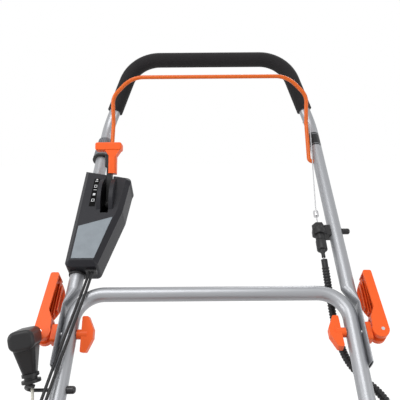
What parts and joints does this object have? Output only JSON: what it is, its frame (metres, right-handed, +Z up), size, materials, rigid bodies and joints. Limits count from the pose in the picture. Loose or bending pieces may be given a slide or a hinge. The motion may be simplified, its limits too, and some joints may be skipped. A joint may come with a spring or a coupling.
{
  "type": "push lawn mower",
  "caption": "Walk-behind push mower with a folding silver handle, foam grip, orange brake bail, throttle housing, cam clamps, rope starter, engine and rotary blade.",
  "frame": {"origin": "on the ground under the middle of the mower's bounding box", "axes": "+Z up, -Y the way the mower drives, +X the walker's left as the walker stands behind and looks along -Y"},
  "size_m": [0.566, 1.3184, 1.0126],
  "materials": {
    "silver_paint": "satin",
    "foam": "matt foam",
    "orange_plastic": "semi-gloss",
    "orange_paint": "gloss",
    "charcoal_plastic": "fine texture",
    "grey_plastic": "textured",
    "black_plastic": "satin",
    "cable_sheath": "satin",
    "black_steel": "satin",
    "plain_steel": "zinc",
    "rope": "twisted cord",
    "engine_casting": "as cast",
    "tyre": "matt",
    "rim": "satin"
  },
  "bodies": {
    "chassis": {"deck": "orange_paint", "axle_plates": "black_steel", "wheel_axles": "plain_steel", "handle_brackets": "black_steel", "handle_bolts": "plain_steel", "lower_handle_tube": "silver_paint", "rope_guide": "black_steel", "starter_rope": "rope", "clamp_bolts": "plain_steel", "cam_pins": "plain_steel", "cam_saddles": "orange_plastic", "engine_block": "engine_casting", "engine_bolts": "plain_steel", "spark_plug": "black_plastic", "blower_shroud": "black_plastic", "starter_housing": "black_plastic", "fuel_tank": "black_plastic", "air_filter_cover": "black_plastic", "muffler": "black_steel", "throttle_cable": "cable_sheath", "stop_cable": "cable_sheath", "brake_cable": "cable_sheath", "brake_conduit": "cable_sheath"},
    "upper_handle": {"upper_handle_tube": "silver_paint", "foam_grip": "foam", "control_cover": "charcoal_plastic", "control_back": "charcoal_plastic", "control_screws": "plain_steel", "grip_panel": "grey_plastic", "throttle_pin": "plain_steel", "ribbed_collar": "grey_plastic", "cable_grommet": "black_plastic", "cable_adjuster": "black_plastic", "cable_bracket": "black_plastic", "brake_wire": "plain_steel"},
    "bail": {"bail": "orange_paint"},
    "throttle": {"throttle_arm": "black_steel", "throttle_knob": "orange_plastic"},
    "left_cam": {"left_cam_lever": "orange_plastic"},
    "right_cam": {"right_cam_lever": "orange_plastic"},
    "left_wing": {"left_wing_knob": "orange_plastic"},
    "right_wing": {"right_wing_knob": "orange_plastic"},
    "starter_handle": {"starter_grip": "black_plastic"},
    "pulley": {"starter_pulley": "black_plastic"},
    "rotor": {"crankshaft": "plain_steel", "flywheel": "engine_casting", "blade_adapter": "plain_steel", "blade": "plain_steel", "blade_bolt": "plain_steel"},
    "flap": {"rear_flap": "black_plastic"},
    "fuel_lid": {"fuel_cap": "black_plastic"},
    "oil_lid": {"oil_cap": "black_plastic"},
    "front_left_wheel": {"front_left_tyre": "tyre", "front_left_rim": "rim"},
    "front_right_wheel": {"front_right_tyre": "tyre", "front_right_rim": "rim"},
    "rear_left_wheel": {"rear_left_tyre": "tyre", "rear_left_rim": "rim"},
    "rear_right_wheel": {"rear_right_tyre": "tyre", "rear_right_rim": "rim"}
  },
  "joints": [
    {"name": "handle_fold", "type": "hinge", "parent": "chassis", "child": "upper_handle", "pos_m": [0, 0.26037, 0.567], "axis": [1, 0, 0], "range_deg": [0, 140], "deforming": ["throttle_cable", "stop_cable", "brake_cable", "brake_conduit"]},
    {"name": "bail_squeeze", "type": "hinge", "parent": "upper_handle", "child": "bail", "pos_m": [0, 0.51304, 0.7945], "axis": [1, 0, 0], "range_deg": [-15, 0], "stiffness_Nm_per_rad": 1, "springref_deg": 20.05, "deforming": ["brake_wire"]},
    {"name": "throttle_swing", "type": "hinge", "parent": "upper_handle", "child": "throttle", "pos_m": [-0.1745, 0.43723, 0.72625], "axis": [1, 0, 0], "range_deg": [0, 70]},
    {"name": "left_cam_swing", "type": "hinge", "parent": "chassis", "child": "left_cam", "pos_m": [0.24135, 0.26037, 0.567], "axis": [0, -0.6691, 0.7431], "range_deg": [-88, 0]},
    {"name": "right_cam_swing", "type": "hinge", "parent": "chassis", "child": "right_cam", "pos_m": [-0.24135, 0.26037, 0.567], "axis": [0, -0.6691, 0.7431], "range_deg": [0, 88]},
    {"name": "left_wing_turn", "type": "hinge", "parent": "chassis", "child": "left_wing", "pos_m": [0.175, 0.26037, 0.567], "axis": [1, 0, 0], "continuous": true},
    {"name": "right_wing_turn", "type": "hinge", "parent": "chassis", "child": "right_wing", "pos_m": [-0.175, 0.26037, 0.567], "axis": [1, 0, 0], "continuous": true},
    {"name": "starter_pull", "type": "slide", "parent": "chassis", "child": "starter_handle", "axis": [-0.1845, 0.2544, 0.9493], "range_m": [0, 0.5], "deforming": ["starter_rope"]},
    {"name": "pulley_spin", "type": "hinge", "parent": "chassis", "child": "pulley", "pos_m": [0, -0.31918, 0.352], "axis": [0, 0, 1], "continuous": true},
    {"name": "rotor_spin", "type": "hinge", "parent": "chassis", "child": "rotor", "pos_m": [0, -0.31918, 0.2], "axis": [0, 0, 1], "continuous": true},
    {"name": "flap_swing", "type": "hinge", "parent": "chassis", "child": "flap", "pos_m": [0, -0.05018, 0.136], "axis": [1, 0, 0], "range_deg": [0, 70]},
    {"name": "fuel_cap_turn", "type": "hinge", "parent": "chassis", "child": "fuel_lid", "pos_m": [0.155, -0.30718, 0.315], "axis": [0, 0, 1], "continuous": true},
    {"name": "oil_cap_turn", "type": "hinge", "parent": "chassis", "child": "oil_lid", "pos_m": [0.04, -0.21518, 0.23], "axis": [0, 0, 1], "continuous": true},
    {"name": "front_left_wheel_roll", "type": "hinge", "parent": "chassis", "child": "front_left_wheel", "pos_m": [0.261, -0.56918, 0.09], "axis": [1, 0, 0], "continuous": true},
    {"name": "front_right_wheel_roll", "type": "hinge", "parent": "chassis", "child": "front_right_wheel", "pos_m": [-0.261, -0.56918, 0.09], "axis": [1, 0, 0], "continuous": true},
    {"name": "rear_left_wheel_roll", "type": "hinge", "parent": "chassis", "child": "rear_left_wheel", "pos_m": [0.261, -0.04918, 0.1], "axis": [1, 0, 0], "continuous": true},
    {"name": "rear_right_wheel_roll", "type": "hinge", "parent": "chassis", "child": "rear_right_wheel", "pos_m": [-0.261, -0.04918, 0.1], "axis": [1, 0, 0], "continuous": true}
  ],
  "couplings": [
    {"joint": "pulley_spin", "follows": "starter_pull", "rad_per_m": -32.26}
  ]
}
